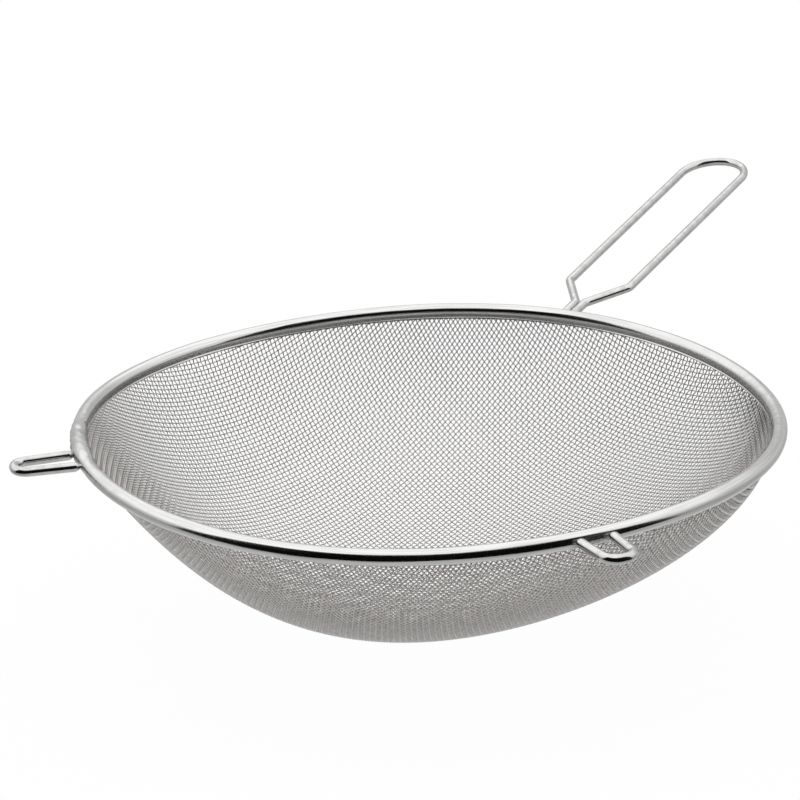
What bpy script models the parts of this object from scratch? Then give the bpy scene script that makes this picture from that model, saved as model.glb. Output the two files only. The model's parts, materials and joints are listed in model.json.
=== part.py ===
"""A round mesh strainer: a bowl of woven wire cloth in a rolled rim, a long wire handle and two rest hooks.

The handle runs out along +X, +Z is up, and the origin is the middle of the flat foot under the bowl.
Each piece is drawn about the middle of its rim, then set down with the rim's middle at RIM_MIDDLE.
"""

import math

import bmesh
import bpy
from mathutils import Matrix, Vector

# Rim: a strip rolled round a hoop wire, with two skirts that clamp the edge of the cloth.
RIM_DIAMETER = 0.260
BEAD_DIAMETER = 0.0049
STRIP_THICKNESS = 0.0004
SKIRT_REACH = 0.0046
SKIRT_FALL = math.radians(45.0)
ROUND_STEPS = 96
BEAD_STEPS = 8

# The rim isn't quite flat: it stands higher on the left hook's side, and waves with three crests.
RIM_TILT = 0.0012
RIM_TILT_TOWARDS = math.radians(126.0)
RIM_WAVE = 0.0011
WAVE_CRESTS = 3
FIRST_CREST = math.radians(4.5)

# Wire stock of the hoop, the handle and the hooks, and the gap left between pieces that touch.
WIRE_DIAMETER = 0.0035
SEAT_GAP = 0.0003
HOOP_STEPS = 8
WIRE_BEVEL = 4

# Cloth: as thick as two crossed wires, drawn down to a bowl that hangs a little to one side.
CLOTH_THICKNESS = 0.0009
BOWL_DEPTH = 0.0761
WALL_FALL = math.radians(66.0)
WALL_PULL = 0.0415
FLOOR_PULL = 0.0497
FOOT_CUT = 0.0005
BOWL_STEPS = 13
LEAN_TOWARDS = math.radians(-63.7)
LEAN_SLOPE = 0.0183
LEAN_BEND = -0.0425
LEAN_TWIST = 0.0115

# Openings: a square grid laid over the cloth lets through what the fine mesh would, round a closed middle.
OPENINGS_ACROSS = 11
OPENING_SHARE = 0.72
OPENING_TURN = math.radians(43.6)
OPENING_EDGE_GAP = 0.006
OPENING_CUT_HALF = 0.003
OPENING_SIDE_STEPS = 2
LEAST_OPENING = 0.010

# Handle: its two legs leave the rim side by side, open out and close in a rounded end.
HANDLE_RISE = math.radians(5.2)
HANDLE_KNEE = 0.0119
HANDLE_BEND = 0.0324
HANDLE_BEND_HALF = 0.0133
HANDLE_END_START = 0.1638
HANDLE_END_HALF = 0.0141
HANDLE_END_DEPTH = 0.0188
HANDLE_CORNER = 0.0060
HANDLE_END_STEPS = 18
CORNER_STEPS = 5

# Rest hooks: short loops opposite the handle, a little narrower at the end than at the rim.
HOOK_ROOT_HALF = 0.0062
HOOK_END_HALF = 0.0050
HOOK_CORNER = 0.0042
LEFT_HOOK_ANGLE = math.radians(133.2)
LEFT_HOOK_RISE = math.radians(0.8)
LEFT_HOOK_REACH = 0.0221
FRONT_HOOK_ANGLE = math.radians(-129.6)
FRONT_HOOK_RISE = math.radians(0.8)
FRONT_HOOK_REACH = 0.0197

# Sizes that follow from the ones above.
RIM_RADIUS = RIM_DIAMETER / 2
BEAD_RADIUS = BEAD_DIAMETER / 2
BEAD_MIDDLE_RADIUS = RIM_RADIUS - BEAD_RADIUS
WIRE_RADIUS = WIRE_DIAMETER / 2
HOOP_OUTER_RADIUS = BEAD_MIDDLE_RADIUS + WIRE_RADIUS
SKIRT_INNER_HALF = CLOTH_THICKNESS / 2 + SEAT_GAP
SKIRT_OUTER_HALF = SKIRT_INNER_HALF + STRIP_THICKNESS
CLOTH_TOP = WIRE_RADIUS + SEAT_GAP + STRIP_THICKNESS
LEG_HALF = WIRE_RADIUS + SEAT_GAP / 2
SEAT_RADIUS = WIRE_RADIUS + SEAT_GAP
SEAT_BOTTOM_GAP = SEAT_GAP + STRIP_THICKNESS / 4
LEAN_AT_FOOT = LEAN_SLOPE + LEAN_BEND + LEAN_TWIST
RIM_HEIGHT = BOWL_DEPTH - FOOT_CUT
LEAN_X = math.cos(LEAN_TOWARDS)
LEAN_Y = math.sin(LEAN_TOWARDS)
RIM_MIDDLE = Vector((-LEAN_AT_FOOT * LEAN_X, -LEAN_AT_FOOT * LEAN_Y, RIM_HEIGHT))

STEEL = (0.62, 0.62, 0.61)
BRIGHT_ROUGHNESS = 0.18
SATIN_ROUGHNESS = 0.32
SHARP_ANGLE = math.radians(35.0)
MERGE_DISTANCE = 1e-6
STRAIGHT_ANGLE = 1e-3


def clear_scene():
    for obj in list(bpy.data.objects):
        bpy.data.objects.remove(obj, do_unlink=True)


def steel(name, roughness):
    material = bpy.data.materials.new(name)
    material.use_nodes = True
    shader = material.node_tree.nodes["Principled BSDF"]
    shader.inputs["Base Color"].default_value = (*STEEL, 1.0)
    shader.inputs["Metallic"].default_value = 1.0
    shader.inputs["Roughness"].default_value = roughness
    return material


def add_object(name, data, material):
    obj = bpy.data.objects.new(name, data)
    obj.location = RIM_MIDDLE
    bpy.context.scene.collection.objects.link(obj)
    if material:
        data.materials.append(material)
    return obj


def rim_point(along, across):
    """The radius and height of a point given along and across the skirts, from the middle of the bead."""
    radius = BEAD_MIDDLE_RADIUS - along * math.cos(SKIRT_FALL) + across * math.sin(SKIRT_FALL)
    height = -along * math.sin(SKIRT_FALL) - across * math.cos(SKIRT_FALL)
    return radius, height


def rim_lift(angle):
    """How far the rim stands above its middle plane at this angle."""
    tilt = RIM_TILT * math.cos(angle - RIM_TILT_TOWARDS)
    return tilt + RIM_WAVE * math.cos(WAVE_CRESTS * (angle - FIRST_CREST))


def hang_part(height):
    """How far down the bowl a height is: 0 at the skirts, 1 at the foot."""
    start = rim_point(SKIRT_REACH, 0.0)[1]
    return min(max((start - height) / (start + RIM_HEIGHT), 0.0), 1.0)


def settle(place, hangs):
    """Moves a point with the rim's lift, and with the lean of the bowl where the piece hangs from the rim."""
    part = hang_part(place.z) if hangs else 0.0
    shift = LEAN_SLOPE * part + LEAN_BEND * part**2 + LEAN_TWIST * part**3
    lift = rim_lift(math.atan2(place.y, place.x)) * (1.0 - part)
    return place + Vector((shift * LEAN_X, shift * LEAN_Y, lift))


def turned(name, section, closed, material, hangs=False):
    """A solid of revolution about the rim's axis from a section of (radius, height) points."""
    shape = bmesh.new()
    verts = [shape.verts.new((radius, 0.0, height)) for radius, height in section]
    edges = [shape.edges.new(pair) for pair in zip(verts, verts[1:])]
    if closed:
        edges.append(shape.edges.new((verts[-1], verts[0])))
    bmesh.ops.spin(
        shape,
        geom=verts + edges,
        cent=(0.0, 0.0, 0.0),
        axis=(0.0, 0.0, 1.0),
        angle=math.tau,
        steps=ROUND_STEPS,
        use_merge=True,
    )
    bmesh.ops.remove_doubles(shape, verts=shape.verts, dist=MERGE_DISTANCE)
    for vert in shape.verts:
        vert.co = settle(vert.co, hangs)
    bmesh.ops.recalc_face_normals(shape, faces=shape.faces)
    mesh = bpy.data.meshes.new(name)
    shape.to_mesh(mesh)
    shape.free()
    mesh.shade_smooth()
    mesh.set_sharp_from_angle(angle=SHARP_ANGLE)
    return add_object(name, mesh, material)


def folded_side(bead_radius, half_gap):
    """One wall of the strip from the top of the bead down its skirt, as (along, across) points."""
    skirt_distance = math.hypot(SKIRT_REACH, half_gap)
    leave = math.atan2(half_gap, SKIRT_REACH) + math.acos(bead_radius / skirt_distance)
    side = []
    for step in range(BEAD_STEPS + 1):
        angle = math.pi + (leave - math.pi) * step / BEAD_STEPS
        side.append((bead_radius * math.cos(angle), bead_radius * math.sin(angle)))
    side.append((SKIRT_REACH, half_gap))
    return side


def make_rim_strip():
    outside = folded_side(BEAD_RADIUS, SKIRT_OUTER_HALF)
    inside = folded_side(BEAD_RADIUS - STRIP_THICKNESS, SKIRT_INNER_HALF)
    outline = [(along, -across) for along, across in reversed(outside)]
    outline += outside[1:]
    outline += reversed(inside)
    outline += [(along, -across) for along, across in inside[1:]]
    section = [rim_point(along, across) for along, across in outline]
    return turned("rim_strip", section, True, steel("rim_strip", SATIN_ROUGHNESS))


def make_rim_hoop():
    section = []
    for step in range(HOOP_STEPS):
        angle = math.tau * step / HOOP_STEPS
        section.append(rim_point(WIRE_RADIUS * math.cos(angle), WIRE_RADIUS * math.sin(angle)))
    return turned("rim_hoop", section, True, steel("rim_hoop", SATIN_ROUGHNESS))


def cloth_middle():
    """The middle of the cloth's thickness, with its outward normal, from the edge in the rim to the axis."""
    start = Vector(rim_point(SKIRT_REACH, 0.0))
    floor = Vector((0.0, CLOTH_THICKNESS / 2 - BOWL_DEPTH))
    first_pull = start - Vector((math.cos(WALL_FALL), math.sin(WALL_FALL))) * WALL_PULL
    second_pull = floor + Vector((FLOOR_PULL, 0.0))
    edge_normal = Vector((math.sin(SKIRT_FALL), -math.cos(SKIRT_FALL)))
    path = [(Vector(rim_point(CLOTH_TOP, 0.0)), edge_normal)]
    for step in range(BOWL_STEPS + 1):
        part = step / BOWL_STEPS
        rest = 1.0 - part
        point = start * rest**3
        point += first_pull * (3.0 * rest**2 * part)
        point += second_pull * (3.0 * rest * part**2)
        point += floor * part**3
        slope = (first_pull - start) * rest**2
        slope += (second_pull - first_pull) * (2.0 * rest * part)
        slope += (floor - second_pull) * part**2
        slope.normalize()
        path.append((point, Vector((-slope.y, slope.x))))
    path[1] = (path[1][0], (path[1][1] + edge_normal).normalized())
    return path


def point_at_level(above, below, level):
    """The point at this level on the straight line between two points."""
    part = (above.y - level) / (above.y - below.y)
    return above.lerp(below, part)


def lengths_from_foot(path):
    """How far along the cloth each point of the path is from the axis, starting at the axis."""
    lengths = [0.0]
    for (lower, _), (upper, _) in zip(reversed(path), list(reversed(path))[1:]):
        lengths.append(lengths[-1] + (upper - lower).length)
    return lengths


def on_cloth(path, lengths, flat, outward):
    """The place on the bowl of a point of the cloth laid out flat, moved outward along the cloth's normal."""
    steps = list(reversed(path))
    length = flat.length
    index = 1
    while index < len(steps) - 1 and lengths[index] < length:
        index += 1
    part = (length - lengths[index - 1]) / (lengths[index] - lengths[index - 1])
    point = steps[index - 1][0].lerp(steps[index][0], part)
    point += steps[index - 1][1].lerp(steps[index][1], part).normalized() * outward
    radial = flat.normalized()
    return settle(Vector((radial.x * point.x, radial.y * point.x, point.y)), True)


def opening_outline(column, row, pitch, limit):
    """The outline of one opening on the cloth laid out flat, drawn in where it would pass the limit."""
    half = pitch * OPENING_SHARE / 2
    corners = [Vector((-half, -half)), Vector((half, -half)), Vector((half, half)), Vector((-half, half))]
    middle = Vector((column * pitch, row * pitch))
    turn = Matrix.Rotation(OPENING_TURN, 2)
    outline = []
    for start, end in zip(corners, corners[1:] + corners[:1]):
        for step in range(OPENING_SIDE_STEPS):
            place = turn @ (middle + start.lerp(end, step / OPENING_SIDE_STEPS))
            if place.length > limit:
                place = place.normalized() * limit
            outline.append(place)
    return outline


def least_width(outline):
    """The shorter of the outline's two diagonals, which shows how far it has been drawn in."""
    quarter = len(outline) // 4
    first = (outline[0] - outline[2 * quarter]).length
    second = (outline[quarter] - outline[3 * quarter]).length
    return min(first, second)


def add_opening(shape, path, lengths, outline):
    rings = []
    for outward in (-OPENING_CUT_HALF, OPENING_CUT_HALF):
        rings.append([shape.verts.new(on_cloth(path, lengths, place, outward)) for place in outline])
    shape.faces.new(rings[0])
    shape.faces.new(reversed(rings[1]))
    for index in range(len(outline)):
        after = (index + 1) % len(outline)
        shape.faces.new((rings[0][index], rings[1][index], rings[1][after], rings[0][after]))


def cut_openings(mesh_bowl, path):
    """One joined cutter for all the openings of the cloth."""
    lengths = lengths_from_foot(path)
    limit = lengths[-2] - OPENING_EDGE_GAP
    pitch = 2 * limit / (OPENINGS_ACROSS - 1 + OPENING_SHARE)
    last = OPENINGS_ACROSS // 2
    shape = bmesh.new()
    for column in range(-last, last + 1):
        for row in range(-last, last + 1):
            outline = opening_outline(column, row, pitch, limit)
            if (column, row) != (0, 0) and least_width(outline) > LEAST_OPENING:
                add_opening(shape, path, lengths, outline)
    bmesh.ops.recalc_face_normals(shape, faces=shape.faces)
    mesh = bpy.data.meshes.new("cloth_openings")
    shape.to_mesh(mesh)
    shape.free()
    cutter = add_object("cloth_openings", mesh, None)
    cut_with(mesh_bowl, cutter)


def cut_with(piece, cutter):
    cutter.hide_render = True
    cutter.display_type = "WIRE"
    cut = piece.modifiers.new(cutter.name, "BOOLEAN")
    cut.operation = "DIFFERENCE"
    cut.solver = "EXACT"
    cut.object = cutter


def make_mesh_bowl():
    path = cloth_middle()
    half = CLOTH_THICKNESS / 2
    outer = [point + normal * half for point, normal in path]
    inner = [point - normal * half for point, normal in path]
    level = -RIM_HEIGHT
    wall = [point for point in outer if point.y > level]
    edge_of_foot = point_at_level(wall[-1], outer[len(wall)], level)
    outside = wall + [edge_of_foot, Vector((0.0, level))]
    inner[-1].x = 0.0
    section = [tuple(point) for point in list(reversed(inner)) + outside]
    mesh_bowl = turned("mesh_bowl", section, False, steel("mesh_bowl", BRIGHT_ROUGHNESS), hangs=True)
    cut_openings(mesh_bowl, path)


def rounded(corners, radius):
    """A path through these corners with each inner corner turned at this radius."""
    path = [corners[0]]
    for before, corner, after in zip(corners, corners[1:], corners[2:]):
        back = (before - corner).normalized()
        ahead = (after - corner).normalized()
        half_angle = back.angle(ahead) / 2
        if math.pi / 2 - half_angle < STRAIGHT_ANGLE:
            path.append(corner)
            continue
        setback = radius / math.tan(half_angle)
        middle = corner + (back + ahead).normalized() * (radius / math.sin(half_angle))
        start = corner + back * setback - middle
        end = corner + ahead * setback - middle
        turn = start.angle(end)
        for step in range(CORNER_STEPS + 1):
            part = step / CORNER_STEPS
            mixed = start * math.sin((1.0 - part) * turn) + end * math.sin(part * turn)
            path.append(middle + mixed / math.sin(turn))
    path.append(corners[-1])
    return path


def root_start(half):
    """Where a leg ends, measured outwards from the rim's outer edge, so that it stands off the hoop."""
    return math.sqrt((HOOP_OUTER_RADIUS + SEAT_BOTTOM_GAP) ** 2 - half**2) - RIM_RADIUS


def place_on_rim(obj, angle, rise):
    outward = Vector((math.cos(angle), math.sin(angle), 0.0))
    obj.location = RIM_MIDDLE + outward * RIM_RADIUS + Vector((0.0, 0.0, rim_lift(angle)))
    obj.rotation_euler = (0.0, -rise, angle)


def bent_wire(name, path, angle, rise):
    """A round wire along a flat path whose X runs outwards from the rim's outer edge."""
    curve = bpy.data.curves.new(name, "CURVE")
    curve.dimensions = "3D"
    curve.bevel_depth = WIRE_RADIUS
    curve.bevel_resolution = WIRE_BEVEL
    curve.use_fill_caps = True
    spline = curve.splines.new("POLY")
    spline.points.add(len(path) - 1)
    for point, place in zip(spline.points, path):
        point.co = (place.x, place.y, 0.0, 1.0)
    spline.use_smooth = True
    obj = add_object(name, curve, steel(name, BRIGHT_ROUGHNESS))
    place_on_rim(obj, angle, rise)
    return obj


def mirrored(half_path):
    return half_path + [Vector((place.x, -place.y)) for place in reversed(half_path)]


def make_handle():
    corners = [
        Vector((root_start(LEG_HALF), LEG_HALF)),
        Vector((HANDLE_KNEE, LEG_HALF)),
        Vector((HANDLE_BEND, HANDLE_BEND_HALF)),
        Vector((HANDLE_END_START, HANDLE_END_HALF)),
    ]
    half_path = rounded(corners, HANDLE_CORNER)
    for step in range(1, HANDLE_END_STEPS // 2 + 1):
        angle = math.pi * step / HANDLE_END_STEPS
        reach = HANDLE_END_START + HANDLE_END_DEPTH * math.sin(angle)
        half_path.append(Vector((reach, HANDLE_END_HALF * math.cos(angle))))
    path = half_path[:-1] + [Vector((half_path[-1].x, 0.0))]
    path += [Vector((place.x, -place.y)) for place in reversed(half_path[:-1])]
    return bent_wire("handle", path, 0.0, HANDLE_RISE)


def make_rest_hook(name, angle, rise, reach):
    corners = mirrored([
        Vector((root_start(HOOK_ROOT_HALF), HOOK_ROOT_HALF)),
        Vector((reach, HOOK_END_HALF)),
    ])
    return bent_wire(name, rounded(corners, HOOK_CORNER), angle, rise)


def cut_seat(rim_strip, name, middle, half_width, depth, angle, rise):
    """Opens the bead's outer side where a leg passes in to the hoop."""
    shape = bmesh.new()
    bmesh.ops.create_cube(shape, size=2.0)
    start = depth - SEAT_GAP
    for vert in shape.verts:
        vert.co.x = start + (vert.co.x + 1.0) * BEAD_RADIUS
        vert.co.y = middle + vert.co.y * half_width
        vert.co.z = vert.co.z * BEAD_DIAMETER
    mesh = bpy.data.meshes.new(name)
    shape.to_mesh(mesh)
    shape.free()
    cutter = add_object(name, mesh, None)
    place_on_rim(cutter, angle, rise)
    cut_with(rim_strip, cutter)


def cut_seats(rim_strip):
    cut_seat(rim_strip, "handle_seat", 0.0, LEG_HALF + SEAT_RADIUS, root_start(LEG_HALF), 0.0, HANDLE_RISE)
    hook_depth = root_start(HOOK_ROOT_HALF)
    hooks = (("left", LEFT_HOOK_ANGLE, LEFT_HOOK_RISE), ("front", FRONT_HOOK_ANGLE, FRONT_HOOK_RISE))
    for hook, angle, rise in hooks:
        for leg, side in ((1, -1), (2, 1)):
            name = f"{hook}_hook_seat_{leg}"
            cut_seat(rim_strip, name, side * HOOK_ROOT_HALF, SEAT_RADIUS, hook_depth, angle, rise)


def main():
    clear_scene()
    make_mesh_bowl()
    rim_strip = make_rim_strip()
    cut_seats(rim_strip)
    make_rim_hoop()
    make_handle()
    make_rest_hook("rest_hook_left", LEFT_HOOK_ANGLE, LEFT_HOOK_RISE, LEFT_HOOK_REACH)
    make_rest_hook("rest_hook_front", FRONT_HOOK_ANGLE, FRONT_HOOK_RISE, FRONT_HOOK_REACH)


if __name__ == "__main__":
    main()
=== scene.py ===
"""Looks of a mesh strainer: woven wire cloth in a rolled steel rim, a bent wire handle and two rest hooks.

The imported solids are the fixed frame. All sizes are metres in that frame: the handle runs out along +X,
+Z is up, and the origin is the middle of the foot that the bowl stands on.
The rim, the cloth and the hooks are worked out about the middle of the rim, and then set down at RIM_MIDDLE.
"""

import json
import math

import bpy
import numpy as np
from mathutils import Matrix, Vector

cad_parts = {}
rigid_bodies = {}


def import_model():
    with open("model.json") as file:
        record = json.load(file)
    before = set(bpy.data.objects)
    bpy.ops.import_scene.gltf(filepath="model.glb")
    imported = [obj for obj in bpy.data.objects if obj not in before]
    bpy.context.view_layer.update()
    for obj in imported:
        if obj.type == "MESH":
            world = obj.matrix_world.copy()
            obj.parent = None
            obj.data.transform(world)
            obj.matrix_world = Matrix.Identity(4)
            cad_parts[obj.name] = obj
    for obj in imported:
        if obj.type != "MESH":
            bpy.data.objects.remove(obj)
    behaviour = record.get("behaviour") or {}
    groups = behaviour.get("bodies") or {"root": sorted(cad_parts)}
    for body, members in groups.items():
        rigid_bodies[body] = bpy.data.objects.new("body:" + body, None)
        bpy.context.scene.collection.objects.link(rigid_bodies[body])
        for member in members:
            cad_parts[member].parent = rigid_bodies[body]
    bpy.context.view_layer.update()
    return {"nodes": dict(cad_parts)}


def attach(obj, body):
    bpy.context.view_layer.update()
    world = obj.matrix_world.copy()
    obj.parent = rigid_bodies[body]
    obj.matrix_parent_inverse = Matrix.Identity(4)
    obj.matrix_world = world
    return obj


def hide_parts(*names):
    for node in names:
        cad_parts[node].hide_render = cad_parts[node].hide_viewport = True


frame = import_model()

bl_info = {
    "name": "Mesh strainer",
    "version": (1, 0, 0),
    "blender": (4, 5, 0),
    "location": "3D View > Sidebar > Strainer",
    "description": "Weaves, rolls and bends the pieces of a wire mesh strainer and sets its stage",
    "category": "Object",
}

BODY = "root"

# Points nearer than this are one point.
TOLERANCE = 1e-6

# The drawn bowl: where its wall leaves the rim, how it pulls in, and how it hangs to one side.
BOWL_DEPTH = 0.0761
WALL_FALL = math.radians(66.0)
WALL_PULL = 0.0415
FLOOR_PULL = 0.0497
FOOT_CUT = 0.0005
LEAN_TOWARDS = math.radians(-63.7)
LEAN_SLOPE = 0.0183
LEAN_BEND = -0.0425
LEAN_TWIST = 0.0115
LEAN_AT_FOOT = LEAN_SLOPE + LEAN_BEND + LEAN_TWIST
RIM_HEIGHT = BOWL_DEPTH - FOOT_CUT
RIM_MIDDLE = Vector((
    -LEAN_AT_FOOT * math.cos(LEAN_TOWARDS),
    -LEAN_AT_FOOT * math.sin(LEAN_TOWARDS),
    RIM_HEIGHT,
))
CLOTH_HALF = 0.00045

# The net of cloth wires: how far it is worked out past the bowl's edge, and how many more wires that takes.
NET_BEYOND = 0.008
NET_SPREAD = 1.27

# The rim isn't quite flat: it stands higher on the left hook's side, and waves with three crests.
RIM_TILT = 0.0012
RIM_TILT_TOWARDS = math.radians(126.0)
RIM_WAVE = 0.0011
WAVE_CRESTS = 3
FIRST_CREST = math.radians(4.5)

# The rim's strip: half the width across its two skirts, the bend from the bead into a skirt, and its steps.
SKIRT_HALF = 0.00078
BEAD_FILLET = 0.00025
FACE_STEPS = 44
BACK_STEPS = 22

# The skirts' dull face, darkened with painted shade under the bead, starts between these shares of the bead's
# diameter. The inner one is less dull and less shaded.
DULL_AND_SHADE_STARTS = (0.30, 0.42)
INNER_DULL_AND_SHADE = 0.35

# The waves that the rollers leave: how many go round the rim, where they start, and their share of the depth.
ROLLER_WAVES = ((7, 0.4, 0.9), (11, 2.1, 0.7), (19, 4.0, 0.5), (31, 1.3, 0.35), (47, 5.2, 0.25))

# The strip's joint, in degrees round the rim: where the lapped end rises and ends, and where it fades out.
LAP_RISES = (118.0, 120.5)
LAP_FADES = (130.0, 136.5)

# Flats where the joint was squeezed shut: middle and width in degrees, the way they face, and the depth.
PRESSED_FLATS = (
    (123.5, 3.2, 0.5, 0.00050),
    (137.5, 3.5, 2.2, 0.00035),
    (113.5, 2.6, 1.2, 0.00022),
    (147.0, 4.0, 0.9, 0.00018),
)
FLAT_SPREAD = 0.7

# The hammered stretch and the joint's dark mark: middle and width in degrees, and depth or strength.
HAMMERED = (124.0, 9.0, 0.00023)
JOINT_MARK = (126.0, 1.9, 0.6)

# The stretches of satin grain: middle and width in degrees, and strength.
SATIN_STRETCHES = ((132.0, 30.0, 1.0), (-52.0, 30.0, 0.9))

# Where the hooks stand on the rim, how far each one tips up and how far it reaches out.
LEFT_HOOK = (math.radians(133.2), math.radians(0.8), 0.0221)
FRONT_HOOK = (math.radians(-129.6), math.radians(0.8), 0.0197)

# How far the handle tips up, and the gap between its two legs at the rim.
HANDLE_RISE = math.radians(5.2)
LEG_GAP = 0.0003

# The bent wires: where they start, from the rim's outer edge, and the step along them.
WIRE_ROOT = -0.0006
WIRE_STEP = 0.0004

# Their pressed ends: where the press gives way, over what reach, where it is over, and how strong it is.
PRESS_START = -0.0002
PRESS_REACH = 0.0011
PRESS_END = 0.004
PRESS_SHARE = 0.55

# Where wire ends are welded to the rim: the angle, and half the width across the ends.
WELDED = ((0.0, 0.0018), (LEFT_HOOK[0], 0.0062), (FRONT_HOOK[0], 0.0062))

# The burnt patch of a weld: how far it spreads past the ends, how far round the bead, and from where.
BURN_SPREAD = (0.0030, 0.0010)
BURN_ROUND = (0.75, 0.45)
BURN_MIDDLE = -0.10

# The camera.
VIEW_ANGLE = math.radians(-153.7)
VIEW_RISE = math.radians(20.242)
VIEW_DISTANCE = 1.04693
VIEW_ROLL = math.radians(-1.707)
LENS = 129.126
SHIFT = (-0.03606, 0.02342)
TOWARDS_CAMERA = Vector((math.cos(VIEW_ANGLE), math.sin(VIEW_ANGLE), 0.0))

# The dark side behind the camera: its direction, where it is full and where it ends, and its heights.
DARK_ANGLE = VIEW_ANGLE - math.radians(2.0)
DARK_FULL = math.cos(math.radians(60.0))
DARK_END = math.cos(math.radians(95.0))
DARK_FOOT = math.sin(math.radians(-50.0))
DARK_TOP = math.sin(math.radians(48.0))
DARK_SOFTNESS = 0.07

# The ceiling's edge: its height behind and in front, its slant to one side, and its softness.
CEILING_BEHIND = 0.40
CEILING_FRONT = 0.76
CEILING_SLANT = -0.25
CEILING_SOFTNESS = 0.08

# The walls: where the back wall passes into the side walls, and how they get brighter with their height.
WALLS_ASIDE = (0.45, 1.0)
WALLS_HEIGHT = (-0.35, 0.55)
WALLS_SHARE = (0.35, 1.45)

# The white behind the piece: where it is, how high it reaches, and the share of it that bright metal shows.
WHITE_BEHIND = (-0.35, -0.75)
WHITE_HEIGHT = (0.30, 0.10)
WHITE_SHOWN = 0.4

# The floor: a disc, its middle set back behind the piece, shown mostly as white, with a painted pool of
# light.
FLOOR_RADIUS = 0.42
FLOOR_BEHIND = 0.190
FLOOR_DROP = 0.0002
FLOOR_SIDES = 96
FLOOR_WHITE = 0.94
FLOOR_STRENGTH = 1.025
PAINTED_POOL_RADII = (0.12, 0.24)
PAINTED_POOL_SHARES = (0.62, 0.05)


# Settings


def length(name, description, default):
    return bpy.props.FloatProperty(
        name=name, description=description, default=default, unit="LENGTH", subtype="DISTANCE", precision=5
    )


def angle(name, description, degrees):
    return bpy.props.FloatProperty(
        name=name, description=description, default=math.radians(degrees), unit="ROTATION", subtype="ANGLE"
    )


def share(name, description, default, most=1.0):
    return bpy.props.FloatProperty(
        name=name, description=description, default=default, min=0.0, max=most, subtype="FACTOR"
    )


def colour(name, description, default):
    return bpy.props.FloatVectorProperty(
        name=name, description=description, default=default, size=3, min=0.0, max=1.0, subtype="COLOR"
    )


class RimSettings(bpy.types.PropertyGroup):
    diameter: length("Rim diameter", "Outer diameter of the rolled rim", 0.260)
    bead: length("Bead diameter", "Diameter of the roll round the hoop wire", 0.0059)
    bead_drop: length("Bead drop", "How far the middle of the roll lies below the wires' height", 0.00045)
    thickness: length("Strip thickness", "Thickness of the rolled strip", 0.00034)
    skirt_reach: length("Skirt reach", "From the middle of the bead to the skirts' edges", 0.0034)
    skirt_fall: angle("Skirt fall", "How steeply the skirts run down and inwards", 52.0)
    wave: length("Roller wave", "Depth of the long waves that rolling leaves", 0.00003)
    lap_rise: length("Lap rise", "How far the lapped end of the strip stands up", 0.0006)
    around: bpy.props.IntProperty(name="Steps round", description="Steps round the rim", default=420, min=48)


class ClothSettings(bpy.types.PropertyGroup):
    pitch: length("Pitch", "From one wire of the cloth to the next", 0.001817)
    wire: length("Cloth wire", "Diameter of the wire that the cloth is woven from", 0.00046)
    centre_x: length("Drape centre across", "Where the straight wires cross, across the view", -0.0104)
    centre_y: length("Drape centre away", "Where the straight wires cross, away from the view", 0.0153)
    warp: angle("Warp direction", "Direction of the straight warp wire", 45.7)
    weft: angle("Weft direction", "Direction of the straight weft wire", 131.5)
    sides: bpy.props.IntProperty(name="Sides", description="Sides of each woven wire", default=6, min=4)


class WireSettings(bpy.types.PropertyGroup):
    diameter: length("Wire diameter", "Diameter of the handle's and the hooks' wire", 0.0035)
    knee: length("Knee", "From the rim to where the handle's legs open out", 0.0119)
    bend: length("Bend", "From the rim to where the legs run on side by side", 0.0324)
    bend_half: length("Half width at the bend", "From the handle's middle to a leg there", 0.0133)
    end_start: length("End start", "From the rim to where the rounded end starts", 0.1638)
    end_half: length("Half width at the end", "From the handle's middle to a leg there", 0.0141)
    end_depth: length("End depth", "How far the rounded end stands out", 0.0188)
    corner: length("Corner", "Radius of the handle's bends", 0.0060)
    hook_root: length("Half width at the root", "From a hook's middle to a leg at the rim", 0.0062)
    hook_end: length("Half width at the tip", "From a hook's middle to a leg at its tip", 0.0050)
    hook_corner: length("Hook corner", "Radius of a hook's two bends", 0.0048)
    sides: bpy.props.IntProperty(name="Sides", description="Sides of the wire", default=28, min=8)


class FinishSettings(bpy.types.PropertyGroup):
    steel: colour("Steel", "Colour of the bright steel", (0.60, 0.60, 0.59))
    cloth_steel: colour("Cloth steel", "Colour of the woven wire", (0.510, 0.496, 0.482))
    wire_roughness: share("Wire roughness", "Roughness of the polished wire", 0.11)
    rim_roughness: share("Rim roughness", "Roughness of the rolled strip", 0.10)
    cloth_roughness: share("Cloth roughness", "Roughness of the woven wire", 0.05)


class StageSettings(bpy.types.PropertyGroup):
    ceiling: share("Ceiling light", "Strength of the wide soft light overhead", 1.55, 4.0)
    back_wall: share("Back wall", "Strength of the pale wall behind", 0.62, 4.0)
    side_walls: share("Side walls", "Strength of the pale walls on both sides", 1.00, 4.0)
    front: share("Front", "Strength of the dark side behind the camera", 0.004, 4.0)
    floor: colour("Floor", "Colour of the floor", (0.52, 0.52, 0.52))


# Node helpers


def add_node(tree, kind, inputs=None, **settings):
    """Adds a node. An input is given by its name or number, as a value or as the socket that feeds it."""
    node = tree.nodes.new(kind)
    for name, value in settings.items():
        setattr(node, name, value)
    for key, value in (inputs or {}).items():
        if isinstance(value, bpy.types.NodeSocket):
            tree.links.new(value, node.inputs[key])
        else:
            node.inputs[key].default_value = value
    return node


def add_math(tree, operation, *values, **settings):
    inputs = dict(enumerate(values))
    return add_node(tree, "ShaderNodeMath", inputs, operation=operation, **settings).outputs[0]


def add_vector_math(tree, operation, *values):
    """Vector arithmetic. The second value of SCALE is a number, and so is a length or a dot product."""
    keys = (0, "Scale") if operation == "SCALE" else (0, 1)
    node = add_node(tree, "ShaderNodeVectorMath", dict(zip(keys, values)), operation=operation)
    return node.outputs["Value" if operation in ("DOT_PRODUCT", "LENGTH") else "Vector"]


def product(tree, value, *others):
    for other in others:
        value = add_math(tree, "MULTIPLY", value, other)
    return value


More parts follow.
